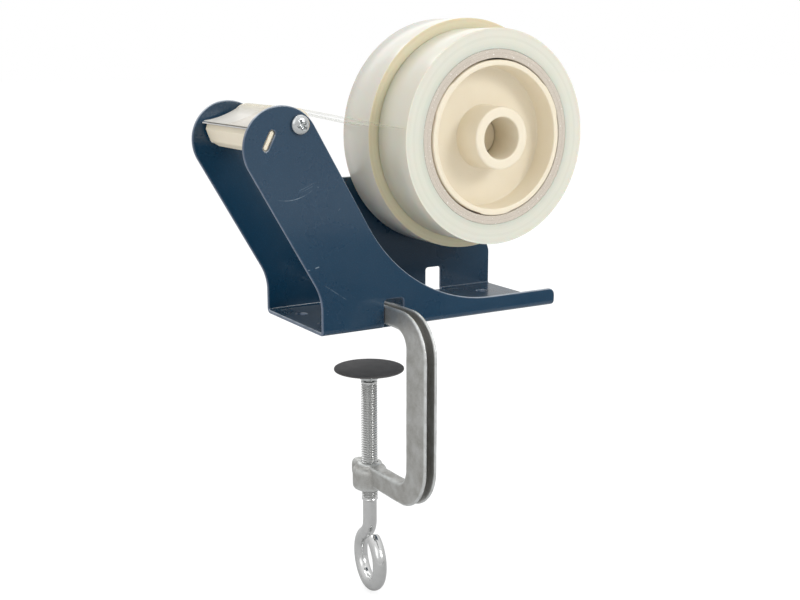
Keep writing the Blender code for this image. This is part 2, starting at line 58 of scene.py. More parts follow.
# Dimensions are millimetres from the front edge of the floor. The frame's origin is the middle of the floor.
DATUM = Vector((67.0, 0.0, 0.0))

# Channel
SHEET, WIDTH, LENGTH = 1.8, 60.0, 134.0
BEND_INSIDE = 1.0
BEND_OUT = BEND_INSIDE + SHEET
FLOOR_HALF = WIDTH / 2 - BEND_OUT
BEND_ARC = math.pi / 2 * (BEND_INSIDE + SHEET / 2)
ARM_LEAN = math.radians(30)
HEAD_X, HEAD_Z, HEAD_R = -18.4, 86.9, 18.3
TAIL_HEIGHT, TAIL_SWEEP_R, FRONT_BEND_R = 8.8, 80.0, 25.0
SHELF_Z, REAR_WALL_Z, LOBE_R = 65.5, 27.0, 20.0
NOTCH_LOW, NOTCH_HIGH, NOTCH_TOP = 32.7, 43.2, 14.0
WINDOW_LOW, WINDOW_HIGH = 92.8, 102.2

# Spindle, rolls and guide roller
SPINDLE = (98.5, 86.5)
GUIDE = (-9.9, 96.6)
GUIDE_R = 7.0
FRONT_TAPE_R, REAR_TAPE_R = 52.2, 57.3
FRONT_HUB_Y, REAR_HUB_Y = -27.2, -0.5
BOSS_PROUD = 3.3
FRONT_TAPE_Y, REAR_TAPE_Y = -26.6, -0.8
TAPE_WIDTH, HUB_WIDTH = 25.4, 26.3
CORE_IN, CORE_OUT = 38.1, 42.3

# Blade and strips
TAB_LOW, TAB_HIGH = (-26.8, 85.8), (-22.3, 94.7)
BLADE_TIP, BLADE_SLOPE = (-31.9, 94.9), math.radians(12)
STRIP_TIP, STRIP_ROLL_Z = (-32.4, 96.05), 92.5

# Clamp
SCREW_AXIS = CLAMP_X, SCREW_Y = 36.5, -8.2
CLAMP_HALF = 3.5
PAD_TOP = -24.6
THREAD_TOP, THREAD_END, THREAD_PITCH = -32.1, -93.0, 1.25
THREAD_CREST, THREAD_ROOT, BORE_R = 4.1, 3.3, 4.3
ROD_R = 3.5
EYE_Z, EYE_R, EYE_TURN = -125.4, 13.0, math.radians(8)

# Clearances between neighbouring parts
GAP = 0.1
CHEEK_INSIDE = WIDTH / 2 - SHEET - GAP
CHEEK_OUTSIDE = WIDTH / 2 + GAP


# ---- shapes


def mesh_piece(name, points, faces, angle=35):
    """A mesh object from points in millimetres, shaded smooth but for edges sharper than angle."""
    mesh = bpy.data.meshes.new(name)
    mesh.from_pydata([(Vector(p) - DATUM) * MM for p in points], [], faces)
    shape = bmesh.new()
    shape.from_mesh(mesh)
    bmesh.ops.recalc_face_normals(shape, faces=shape.faces)
    shape.to_mesh(mesh)
    shape.free()
    mesh.shade_smooth()
    mesh.set_sharp_from_angle(angle=math.radians(angle))
    made = bpy.data.objects.new(name, mesh)
    bpy.context.scene.collection.objects.link(made)
    return made


def around(centre, radius, turn):
    """The point of a circle at an angle."""
    return centre[0] + radius * math.cos(turn), centre[1] + radius * math.sin(turn)


def fillet(last, here, after, radius):
    """The arc that rounds a corner: its centre, the way from there to its start, and the angle that it turns."""
    to_last, to_next = (last - here).normalized(), (after - here).normalized()
    half = to_last.angle(to_next) / 2
    centre = here + (to_last + to_next).normalized() * (radius / math.sin(half))
    reach = radius / math.tan(half)
    start = here + to_last * reach - centre
    return centre, start, -start.angle_signed(here + to_next * reach - centre)


def rounded(corners, step=math.radians(6), arcs=None):
    """An outline whose corners (a, b, radius) are replaced by arcs, of the given number of steps if arcs is given."""
    outline = []
    count = len(corners)
    for i, (a, b, radius) in enumerate(corners):
        if radius <= 0:
            outline.append((a, b))
            continue
        last, after = Vector(corners[i - 1][:2]), Vector(corners[(i + 1) % count][:2])
        centre, start, turn = fillet(last, Vector((a, b)), after, radius)
        steps = arcs or max(2, math.ceil(abs(turn) / step))
        for k in range(steps + 1):
            cos, sin = math.cos(turn * k / steps), math.sin(turn * k / steps)
            outline.append((centre.x + start.x * cos - start.y * sin, centre.y + start.x * sin + start.y * cos))
    return outline


def stadium(low, high, thick, steps=10):
    """A slot's outline between the two ends of its centre line, which include the rounding."""
    low, high = Vector(low), Vector(high)
    along = (high - low).normalized()
    side = Vector((-along.y, along.x))
    radius = thick / 2
    outline = []
    for centre, way in ((high - along * radius, 1), (low + along * radius, -1)):
        for k in range(steps + 1):
            angle = math.pi * k / steps
            point = centre - way * side * radius * math.cos(angle) + way * along * radius * math.sin(angle)
            outline.append(tuple(point))
    return outline


def circle(centre, radius, steps=40):
    return [around(centre, radius, 2 * math.pi * k / steps) for k in range(steps)]


def bezier(a, b, c, d, t):
    u = 1 - t
    return a * u**3 + 3 * b * u * u * t + 3 * c * u * t * t + d * t**3


def signed_area(loop):
    return sum(a[0] * b[1] - b[0] * a[1] for a, b in zip(loop, loop[1:] + loop[:1])) / 2


def plate(loops, thick, edge, place, steps=3):
    """Points and faces of a flat plate with rounded edges. The first loop is its outline and the others are holes.
    place(a, b, w) puts a point of the flat plate, w from 0 to thick, in space."""
    points, faces, inner_low, inner_high = [], [], [], []
    # Two narrow flat rings inside each rounded edge keep the edge's shading off the wide face.
    flat = 0.08 if edge > 0.15 else 0.02
    for number, loop in enumerate(loops):
        loop = [p for p, q in zip(loop, loop[1:] + loop[:1]) if math.dist(p, q) > 1e-4]
        if (signed_area(loop) > 0) != (number == 0):
            loop = loop[::-1]
        count = len(loop)
        inward = []
        for i in range(count):
            here = Vector(loop[i])
            one = (here - Vector(loop[i - 1])).normalized()
            two = (Vector(loop[(i + 1) % count]) - here).normalized()
            normal = Vector((-one.y - two.y, one.x + two.x)).normalized()
            inward.append(normal / max(0.5, normal.dot(Vector((-one.y, one.x)))))
        rings = [(edge + 2 * flat, 0), (edge + flat, 0)]
        for k in range(steps + 1):
            angle = math.pi / 2 * k / steps
            rings.append((edge * (1 - math.sin(angle)), edge * (1 - math.cos(angle))))
        rings += [(inset, thick - w) for inset, w in reversed(rings)]
        start = len(points)
        for inset, w in rings:
            points += [(p[0] + n.x * inset, p[1] + n.y * inset, w) for p, n in zip(loop, inward)]
        for k in range(len(rings) - 1):
            for i in range(count):
                after = (i + 1) % count
                low, high = start + k * count, start + (k + 1) * count
                faces.append((low + i, low + after, high + after, high + i))
        inner_low.append(list(range(start, start + count)))
        inner_high.append([start + (len(rings) - 1) * count + i for i in range(count)])
    borders = [[Vector((points[i][0], points[i][1], 0)) for i in ring] for ring in inner_low]
    low_index = [i for ring in inner_low for i in ring]
    high_index = [i for ring in inner_high for i in ring]
    for tri in tessellate_polygon(borders):
        faces.append(tuple(low_index[i] for i in tri))
        faces.append(tuple(high_index[i] for i in reversed(tri)))
    return [place(*p) for p in points], faces


def turned(name, profile, centre, axis="Y", segments=128, angle=35, shape=None):
    """A closed profile of (radius, along) turned about an axis. shape(radius, turn) may change a point's radius."""
    points, faces, rings = [], [], []
    for radius, along in profile:
        ring = []
        for step in range(segments if radius > 1e-6 else 1):
            turn = 2 * math.pi * step / segments
            a, b = around(centre, shape(radius, turn) if shape else radius, turn)
            ring.append(len(points))
            points.append((a, along, b) if axis == "Y" else (a, b, along))
        rings.append(ring)
    for one, two in zip(rings, rings[1:] + rings[:1]):
        if len(one) == 1 and len(two) == 1:
            continue
        for step in range(segments):
            after = (step + 1) % segments
            corners = (one[step % len(one)], one[after % len(one)], two[after % len(two)], two[step % len(two)])
            faces.append(tuple(dict.fromkeys(corners)))
    return mesh_piece(name, points, faces, angle)


def loft(name, rings, angle=35):
    """A tube through rings of equally many points, with both ends closed."""
    count = len(rings[0])
    points = [p for ring in rings for p in ring]
    faces = []
    for k in range(len(rings) - 1):
        for i in range(count):
            after = (i + 1) % count
            faces.append((k * count + i, k * count + after, (k + 1) * count + after, (k + 1) * count + i))
    faces.append(tuple(range(count)))
    faces.append(tuple(range(len(points) - 1, len(points) - count - 1, -1)))
    return mesh_piece(name, points, faces, angle)


def weighted(piece):
    """The piece, with shading that keeps its flat faces flat."""
    piece.modifiers.new("flat faces stay flat", "WEIGHTED_NORMAL").keep_sharp = True
    return piece


def bake(piece):
    """Applies a piece's modifiers to its mesh."""
    graph = bpy.context.evaluated_depsgraph_get()
    mesh = bpy.data.meshes.new_from_object(piece.evaluated_get(graph))
    piece.modifiers.clear()
    piece.data = mesh


def combine(piece, other, operation, solver="EXACT"):
    """Changes a piece by a Boolean with another one, which is used up."""
    change = piece.modifiers.new(operation, "BOOLEAN")
    change.operation, change.object, change.solver = operation, other, solver
    bake(piece)
    bpy.data.objects.remove(other, do_unlink=True)


# ---- materials


class Tree:
    """Short calls for a node tree. A value may be a number, a tuple, a socket or a node with one output."""

    def __init__(self, owner):
        owner.use_nodes = True
        self.nodes, self.links = owner.node_tree.nodes, owner.node_tree.links

    def set(self, node, key, value):
        if isinstance(value, bpy.types.Node):
            value = value.outputs[0]
        if isinstance(value, bpy.types.NodeSocket):
            self.links.new(value, node.inputs[key])
        else:
            node.inputs[key].default_value = value

    def node(self, kind, inputs=(), **settings):
        made = self.nodes.new("ShaderNode" + kind)
        for key, value in settings.items():
            setattr(made, key, value)
        for key, value in dict(inputs).items():
            self.set(made, key, value)
        return made

    def remap(self, value, low, high, to_low=0.0, to_high=1.0):
        inputs = {"Value": value, "From Min": low, "From Max": high, "To Min": to_low, "To Max": to_high}
        return self.node("MapRange", inputs, clamp=True).outputs[0]

    def mix(self, factor, one, two):
        """A blend of two colours, each an RGB tuple or a socket."""
        one, two = ((*colour, 1.0) if isinstance(colour, tuple) else colour for colour in (one, two))
        return self.node("Mix", {0: factor, 6: one, 7: two}, data_type="RGBA").outputs[2]

    def math(self, operation, *values):
        return self.node("Math", dict(enumerate(values)), operation=operation).outputs[0]

    def times(self, value, *others):
        for other in others:
            value = self.math("MULTIPLY", value, other)
        return value

    def rest(self, value):
        """One minus a value."""
        return self.math("SUBTRACT", 1.0, value)

    def split(self, vector):
        """A vector's outputs X, Y and Z."""
        return self.node("SeparateXYZ", {0: vector}).outputs

    def geometry(self, output):
        return self.node("NewGeometry").outputs[output]


class Finish(Tree):
    """A Principled material. Positions are the piece's own, in metres."""

    def __init__(self, name, colour, roughness, metallic=0.0, **inputs):
        self.material = bpy.data.materials.new(name)
        super().__init__(self.material)
        self.shader = self.nodes["Principled BSDF"]
        self.shade(Base_Color=(*colour, 1.0), Roughness=roughness, Metallic=metallic, **inputs)
        self.where = self.node("TexCoord").outputs["Object"]

    def shade(self, **inputs):
        """Sets or links inputs of the Principled shader, with _ for each space in their names."""
        for key, value in inputs.items():
            self.set(self.shader, key.replace("_", " "), value)

    def noise(self, scale, detail=3.0, rough=0.5, stretch=None):
        place = self.node("Mapping", {"Vector": self.where, "Scale": stretch}) if stretch else self.where
        inputs = {"Vector": place, "Scale": scale, "Detail": detail, "Roughness": rough}
        return self.node("TexNoise", inputs).outputs["Fac"]

    def add_bump(self, height, distance, strength=1.0):
        """Bumps the surface, on top of any earlier bump."""
        before = self.shader.inputs["Normal"].links
        inputs = {"Height": height, "Distance": distance, "Strength": strength}
        if before:
            inputs["Normal"] = before[0].from_socket
        self.shade(Normal=self.node("Bump", inputs))

    def edges(self, low, high):
        """Where the surface is convex, from its pointiness."""
        return self.remap(self.geometry("Pointiness"), low, high)

    def radius(self, centre, axis="Y"):
        """Distance from an axis through centre, in metres."""
        flat = self.node("VectorMath", {0: self.where, 1: tuple((Vector(centre) - DATUM) * MM)}, operation="SUBTRACT")
        across = (1, 0, 1) if axis == "Y" else (1, 1, 0)
        held = self.node("VectorMath", {0: flat, 1: across}, operation="MULTIPLY")
        return self.node("VectorMath", {0: held}, operation="LENGTH").outputs["Value"]

    def rings(self, radius, scale, detail=2.0):
        inputs = {"W": self.times(radius, scale), "Scale": 1.0, "Detail": detail}
        return self.node("TexNoise", inputs, noise_dimensions="1D").outputs["Fac"]


def scratches(f, spot):
    """How far the near cheek's paint is scratched at a place, from 0 to 1."""
    marks = 0.0
    # Each scratch has its two ends (x, z), the sideways bow between them and its half width.
    for (x0, z0), (x1, z1), bow, wide in (
        ((-21.4, 64.4), (-3.9, 68.0), -2.0, 0.17),
        ((-11.0, 67.8), (-3.0, 71.2), -0.2, 0.10),
        ((-10.4, 67.0), (-3.4, 69.9), -0.2, 0.08),
        ((1.2, 24.1), (13.4, 15.6), 0.0, 0.10),
        ((-3.6, 32.4), (-1.3, 33.0), 0.0, 0.36),
        ((-7.2, 32.0), (-5.9, 31.8), 0.0, 0.28),
        ((8.4, 57.6), (9.8, 58.7), 0.0, 0.12),
        ((-1.7, 69.2), (-1.1, 68.6), 0.0, 0.22),
    ):
        start, end = Vector((x0 - DATUM.x, z0)) * MM, Vector((x1 - DATUM.x, z1)) * MM
        along, reach = (end - start).normalized(), (end - start).length
        dx, dz = f.math("SUBTRACT", spot["X"], start.x), f.math("SUBTRACT", spot["Z"], start.y)
        go = f.math("ADD", f.times(dx, along.x), f.times(dz, along.y))
        off = f.math("SUBTRACT", f.times(dz, along.x), f.times(dx, along.y))
        share = f.times(go, 1 / reach)
        bent = f.times(share, f.rest(share), 4 * bow * MM)
        line = f.remap(f.math("ABSOLUTE", f.math("SUBTRACT", off, bent)), 0.3 * wide * MM, wide * MM, 1.0, 0.0)
        ends = f.times(f.remap(share, 0.0, 0.15), f.remap(share, 0.85, 1.0, 1.0, 0.0))
        marks = f.math("MAXIMUM", marks, f.times(line, ends))
    near = f.math("LESS_THAN", spot["Y"], (0.5 - WIDTH / 2) * MM)
    return f.times(marks, near, f.remap(f.noise(420, 3, 0.6), 0.36, 0.60, 0.15, 1.0))


def blue_paint():
    """Metallic navy powder coat: fine flake, orange peel, edges lightened partly by wear and partly by a painted
    highlight, a stronger painted highlight on edges that face up, and a few light scratches on the near cheek.
    """
    f = Finish("blue_powder_coat", (0.004, 0.03, 0.065), 0.28, Coat_Weight=0.35, Coat_Roughness=0.08)
    base = f.mix(f.noise(18, 3), (0.002, 0.028, 0.062), (0.004, 0.038, 0.082))
    flake = f.remap(f.noise(1700, 1), 0.54, 0.76)
    tint = f.mix(f.remap(f.noise(1300, 1), 0.4, 0.6), (0.04, 0.055, 0.09), (0.006, 0.09, 0.17))
    base = f.mix(f.times(flake, 0.5), base, tint)
    spot = f.split(f.where)
    base = f.mix(f.times(scratches(f, spot), 0.8), base, (0.22, 0.28, 0.33))
    # A cheek's rounded edges turn away from Y, and the edges of the floor and the bends turn towards X.
    facing = f.split(f.geometry("Normal"))
    upper = f.math("GREATER_THAN", spot["Z"], BEND_OUT * MM)
    turned_y = f.remap(f.math("ABSOLUTE", facing["Y"]), 0.75, 0.97, 1.0, 0.0)
    turned_x = f.remap(f.math("ABSOLUTE", facing["X"]), 0.1, 0.5)
    edge = f.math("ADD", f.times(turned_y, upper), f.times(turned_x, f.rest(upper)))
    # The rounded edges get lighter paint, partly from wear and partly as a painted highlight.
    edge_wear_and_sheen = f.times(edge, f.remap(f.noise(160, 3), 0.30, 0.60, 0.55, 1.0))
    base = f.mix(f.times(edge_wear_and_sheen, 0.65), base, (0.14, 0.18, 0.26))
    # Edges that face up get a stronger painted highlight.
    base = f.mix(f.times(edge_wear_and_sheen, f.remap(facing["Z"], 0.2, 0.7), 0.7), base, (0.50, 0.56, 0.62))
    f.shade(Base_Color=base, Roughness=f.remap(f.noise(40, 4, 0.6), 0.3, 0.7, 0.24, 0.34))
    f.add_bump(f.noise(900, 2), 0.00008, 0.30)
    return f.material


def cream_plastic():
    """Cream moulding with a faint cloudiness and a few dark specks."""
    f = Finish("cream_plastic", (0.80, 0.72, 0.57), 0.42, Subsurface_Weight=0.1, Subsurface_Scale=0.003)
    base = f.mix(f.noise(60, 4, 0.6), (0.775, 0.69, 0.53), (0.815, 0.745, 0.60))
    speck = f.remap(f.noise(1300, 2), 0.70, 0.76)
    base = f.mix(f.times(speck, 0.25), base, (0.52, 0.42, 0.28))
    f.shade(Subsurface_Radius=(1.0, 0.7, 0.4), Base_Color=base)
    f.shade(Roughness=f.remap(f.noise(300, 3), 0.3, 0.7, 0.34, 0.5))
    f.add_bump(f.noise(1500, 2), 0.00006, 0.25)
    return f.material


def cardboard():
    """Wound paper layers, with fibre and a few painted glints."""
    f = Finish("layered_cardboard", (0.50, 0.45, 0.39), 0.9)
    layers = f.rings(f.radius((SPINDLE[0], 0, SPINDLE[1])), 1500, 3)
    fibre = f.noise(1400, 5, 0.7)
    base = f.mix(f.remap(layers, 0.30, 0.70), (0.40, 0.34, 0.28), (0.66, 0.61, 0.54))
    base = f.mix(f.remap(fibre, 0.30, 0.66), base, (0.60, 0.54, 0.46))
    base = f.mix(f.remap(f.noise(2600, 2), 0.55, 0.75, 0.0, 0.6), base, (0.30, 0.25, 0.20))
    # Painted glints: a few near-white specks in the colour.
    glint = f.remap(f.noise(900, 1), 0.69, 0.72)
    f.shade(Base_Color=f.mix(f.times(glint, 0.7), base, (0.88, 0.87, 0.84)))
    f.add_bump(layers, 0.00025, 0.5)
    f.add_bump(fibre, 0.00025, 0.6)
    return f.material


def tape(name, side_dark, side_light, outer, radius, gloss):
    """Wound film: rings on its side faces, and a glossy outer turn."""
    f = Finish(name, outer, gloss, Subsurface_Weight=0.25, Subsurface_Scale=0.006, Coat_Roughness=0.2)
    r = f.radius((SPINDLE[0], 0, SPINDLE[1]))
    weave = f.math("ADD", f.times(f.rings(r, 9000, 3), 0.55), f.times(f.rings(r, 700, 2), 0.45))
    side = f.mix(f.remap(weave, 0.34, 0.66), side_dark, side_light)
    near_core = f.remap(r, (CORE_OUT + 0.2) * MM, (CORE_OUT + 3.2) * MM, 0.35, 0.0)
    side = f.mix(near_core, side, (0.42, 0.43, 0.36))
    rim = f.remap(r, (radius - 0.5) * MM, (radius - 0.1) * MM)
    side = f.mix(f.times(rim, 0.5), side, tuple(min(1.0, c * 1.08) for c in side_light))
    is_side = f.remap(f.math("ABSOLUTE", f.split(f.geometry("Normal"))["Y"]), 0.5, 0.8)
    bands = f.remap(f.noise(30, 2, stretch=(1, 0.05, 1)), 0.35, 0.65)
    turn = f.mix(bands, outer, tuple(c * 0.94 for c in outer))
    f.shade(Base_Color=f.mix(is_side, turn, side))
    f.shade(Roughness=f.remap(is_side, 0, 1, gloss, 0.42), Coat_Weight=f.remap(is_side, 0, 1, 0.35, 0.1))
    f.add_bump(f.times(weave, is_side), 0.0001, 0.25)
    f.add_bump(f.noise(90, 2, stretch=(1, 0.25, 1)), 0.0004, 0.12)
    return f.material


def film(name, tint, cover, tip_cover):
    """A strip of film that lets part of the light straight through, whiter towards its cut end."""
    f = Finish(name, tint, 0.35, Coat_Weight=0.3, Coat_Roughness=0.15)
    x = f.split(f.where)["X"]
    held = f.remap(x, (-20 - DATUM.x) * MM, (-12 - DATUM.x) * MM, tip_cover, cover)
    streak = f.remap(f.noise(60, 2, stretch=(0.4, 1.0, 0.4)), 0.3, 0.7, -0.07, 0.07)
    clear = f.node("BsdfTransparent", {"Color": (0.985, 0.99, 0.98, 1.0)})
    blend = f.node("MixShader", {0: f.math("ADD", held, streak), 1: clear, 2: f.shader})
    f.set(f.nodes["Material Output"], "Surface", blend)
    f.add_bump(f.noise(50, 2, stretch=(0.5, 1.0, 1)), 0.0004, 0.15)
    return f.material


def zinc(name, colour, roughness, grain=1.0, shade_strength=0.85):
    """Plated steel, mottled by grain, with painted shade in its hollows."""
    f = Finish(name, colour, roughness, 1.0)
    base = f.mix(f.noise(240, 4, 0.6), tuple(c * (1 - 0.16 * grain) for c in colour), colour)
    # Painted shade: concave places are darkened in the colour.
    hollow_shade = f.rest(f.edges(0.41, 0.485))
    f.shade(Base_Color=f.mix(f.times(hollow_shade, shade_strength), base, (0.12, 0.14, 0.15)))
    f.shade(Roughness=f.remap(f.noise(500, 3), 0.3, 0.7, roughness * 0.75, roughness * 1.35))
    f.add_bump(f.noise(900, 3), 0.00008, 0.3 * grain)
    return f.material


def screw_plating():
    """Bright zinc, dull down in the roots of the thread and darkened there by painted shade."""
    f = Finish("bright_plating", (0.72, 0.725, 0.72), 0.16, 1.0)
    z = f.split(f.where)["Z"]
    low, high = (THREAD_END - 0.2) * MM, (THREAD_TOP + 0.9) * MM
    threaded = f.times(f.math("GREATER_THAN", z, low), f.math("LESS_THAN", z, high))
    r = f.radius((*SCREW_AXIS, 0), "Z")
    # Painted shade: the thread's roots are darkened in the colour, and made duller.
    root = f.times(f.remap(r, THREAD_ROOT * MM, (THREAD_ROOT + 0.45) * MM, 1.0, 0.0), threaded)
    cloud = f.mix(f.noise(240, 4, 0.6), (0.64, 0.645, 0.64), (0.76, 0.765, 0.76))
    sheen = f.remap(f.noise(500, 3), 0.3, 0.7, 0.10, 0.20)
    f.shade(Base_Color=f.mix(f.times(root, 0.5), cloud, (0.32, 0.32, 0.30)))
    f.shade(Roughness=f.math("ADD", sheen, f.times(root, 0.25)))
    f.add_bump(f.noise(900, 3), 0.00006, 0.2)
    return f.material


def cast_zinc():
    """Tumbled casting: grey and mottled, with a painted highlight along its edges and painted shade down in the groove.
    """
    f = Finish("cast_zinc", (0.42, 0.42, 0.40), 0.5, 0.85)
    blotch = f.remap(f.noise(120, 4, 0.6), 0.30, 0.70)
    grain = f.noise(2200, 3, 0.6)
    base = f.mix(blotch, (0.37, 0.36, 0.335), (0.53, 0.535, 0.52))
    base = f.mix(f.remap(grain, 0.50, 0.85), base, (0.64, 0.65, 0.64))
    pit = f.remap(f.noise(800, 3, 0.6), 0.66, 0.76)
    base = f.mix(f.times(pit, 0.25), base, (0.22, 0.22, 0.21))
    # Painted highlight: convex edges are lightened in the colour.
    edge_highlight = f.times(f.edges(0.503, 0.53), f.remap(f.noise(260, 2), 0.25, 0.6, 0.4, 1.0))
    base = f.mix(edge_highlight, base, (0.72, 0.74, 0.73))
    # Painted shade: the groove and other hollows are darkened in the colour.
    hollow_shade = f.rest(f.edges(0.40, 0.485))
    f.shade(Base_Color=f.mix(f.times(hollow_shade, 0.7), base, (0.07, 0.07, 0.068)))
    f.shade(Roughness=f.remap(blotch, 0, 1, 0.56, 0.38))
    f.add_bump(grain, 0.00008, 0.4)
    f.add_bump(f.noise(260, 3, 0.5), 0.0003, 0.22)
    return f.material


def pad_plastic():
    f = Finish("charcoal_plastic", (0.07, 0.068, 0.068), 0.6)
    f.shade(Base_Color=f.mix(f.noise(420, 4, 0.6), (0.062, 0.060, 0.060), (0.070, 0.068, 0.068)))
    f.shade(Roughness=f.remap(f.noise(160, 3), 0.3, 0.7, 0.56, 0.64))
    f.add_bump(f.noise(1800, 3), 0.00008, 0.5)
    return f.material


CLEAR_SIDE, CLEAR_OUTER = ((0.64, 0.64, 0.55), (0.69, 0.69, 0.60)), (0.70, 0.68, 0.58)
WHITE_SIDE, WHITE_OUTER = ((0.66, 0.60, 0.41), (0.71, 0.66, 0.47)), (0.71, 0.69, 0.61)

# Each finish is a material and the name of its slot.
BLUE = blue_paint(), "blue_paint"
CREAM = cream_plastic(), "cream_plastic"
CARD = cardboard(), "cardboard"
CLEAR_TAPE = tape("clear_tape_wound", *CLEAR_SIDE, CLEAR_OUTER, FRONT_TAPE_R, 0.34), "clear_tape"
WHITE_TAPE = tape("white_tape_wound", *WHITE_SIDE, WHITE_OUTER, REAR_TAPE_R, 0.32), "white_tape"
CLEAR_FILM = film("clear_film", (0.80, 0.75, 0.66), 0.13, 0.80), "clear_tape"
WHITE_FILM = film("white_film", (0.80, 0.77, 0.70), 0.22, 0.90), "white_tape"
ZINC = zinc("zinc_steel", (0.68, 0.70, 0.70), 0.20), "zinc_steel"
BRIGHT = screw_plating(), "bright_zinc"
BLADE_STEEL = zinc("blade_steel", (0.76, 0.76, 0.76), 0.38, 0.5, 0.0), "blade_steel"
CAST = cast_zinc(), "cast_zinc"
PAD_BLACK = pad_plastic(), "pad_black"


def keep(piece, body, finish, *nodes):
    """Gives a piece its finish and its body, and hides the CAD nodes that it stands for."""
    material, slot = finish
    piece.data.materials.clear()
    piece.data.materials.append(material)
    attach(piece, body)
    if nodes:
        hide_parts(*nodes)


# ---- channel


def cheek_outline(far):
    """A cheek's outline (x, z) above the bend, from the tail over the head to the front."""
    up = Vector((-math.sin(ARM_LEAN), math.cos(ARM_LEAN)))
    side = Vector((math.cos(ARM_LEAN), math.sin(ARM_LEAN)))
    centre = Vector((HEAD_X, HEAD_Z))
    rear_edge, front_edge = centre + HEAD_R * side, centre - HEAD_R * side
    head = [(*(centre + HEAD_R * (up + way * side)), HEAD_R - 0.01) for way in (1, -1)]
    bend_z = front_edge.y + front_edge.x / math.tan(ARM_LEAN)

    def edge_x(z):
        return rear_edge.x + (rear_edge.y - z) * math.tan(ARM_LEAN)

    if far:
        low, high = SPINDLE[0] - LOBE_R, SPINDLE[0] + LOBE_R
        top = SPINDLE[1] + LOBE_R
        middle = [
            (LENGTH, REAR_WALL_Z, 8),
            (high, REAR_WALL_Z, 6),
            (high, top, LOBE_R - 0.01),
            (low, top, LOBE_R - 0.01),
            (low, SHELF_Z, 8),
            (edge_x(SHELF_Z), SHELF_Z, 6),
        ]
    else:
        middle = [(LENGTH, TAIL_HEIGHT, 3.5), (edge_x(TAIL_HEIGHT), TAIL_HEIGHT, TAIL_SWEEP_R)]
    corners = [(0, BEND_OUT, 0), (LENGTH, BEND_OUT, 0), *middle, *head, (0, bend_z, FRONT_BEND_R)]
    return rounded(corners, math.radians(3))[1:] + [(0, BEND_OUT)]


def unrolled(z, side):
    """How far from the middle a point of a cheek lies in the flat sheet."""
    return side * (FLOOR_HALF + BEND_ARC + z - BEND_OUT)


def folded(x, v, w):
    """A point of the flat sheet, w up from its lower face, in the folded channel."""
    side, reach = math.copysign(1, v), abs(v) - FLOOR_HALF
    if reach <= 0:
        return x, v, w
    if reach >= BEND_ARC:
        return x, side * (WIDTH / 2 - w), BEND_OUT + reach - BEND_ARC
    turn = math.pi / 2 * reach / BEND_ARC
    radius = BEND_OUT - w
    return x, side * (FLOOR_HALF + radius * math.sin(turn)), BEND_OUT - radius * math.cos(turn)


def channel():
    """The bent steel channel, cut flat with its holes and then folded along both bends."""
    near = [(x, unrolled(z, -1)) for x, z in cheek_outline(False)]
    far = [(x, unrolled(z, 1)) for x, z in cheek_outline(True)]
    loops = [near + far[::-1]]
    notch_floor, notch_top = FLOOR_HALF + BEND_ARC * 0.2, unrolled(NOTCH_TOP, 1)
    for low, high, side in ((NOTCH_LOW, NOTCH_HIGH, -1), (WINDOW_LOW, WINDOW_HIGH, 1)):
        corners = [(low, notch_floor, 0.8), (high, notch_floor, 0.8), (high, notch_top, 1.5), (low, notch_top, 1.5)]
        loops.append([(x, side * v) for x, v in rounded(corners, math.radians(15))])
    for side in (-1, 1):
        loops.append([(x, unrolled(z, side)) for x, z in stadium(TAB_LOW, TAB_HIGH, 3.0)])
        loops.append([(x, unrolled(z, side)) for x, z in circle(GUIDE, 2.6)])
    loops.append([(x, unrolled(z, 1)) for x, z in circle(SPINDLE, 4.3)])
    loops += [circle((x, y), 2.75) for x in (10.0, 118.0) for y in (-12.0, 12.0)]

    points, faces = plate(loops, SHEET, 0.6, lambda a, b, w: (a, b, w), steps=4)
    piece = mesh_piece("channel", points, faces, 60)
    shape = bmesh.new()
    shape.from_mesh(piece.data)
    steps = 10
    for side in (-1, 1):
        for k in range(steps + 1):
            v = side * (FLOOR_HALF + BEND_ARC * k / steps) * MM
            everything = shape.verts[:] + shape.edges[:] + shape.faces[:]
            bmesh.ops.bisect_plane(shape, geom=everything, plane_co=(0, v, 0), plane_no=(0, 1, 0), dist=1e-7)
    for vert in shape.verts:
        vert.co = Vector(folded(*(vert.co / MM))) * MM
    bmesh.ops.recalc_face_normals(shape, faces=shape.faces)
    shape.to_mesh(piece.data)
    shape.free()
    piece.data.shade_smooth()
    keep(weighted(piece), "frame", BLUE, "frame_channel")


# ---- spindle, hubs and rolls


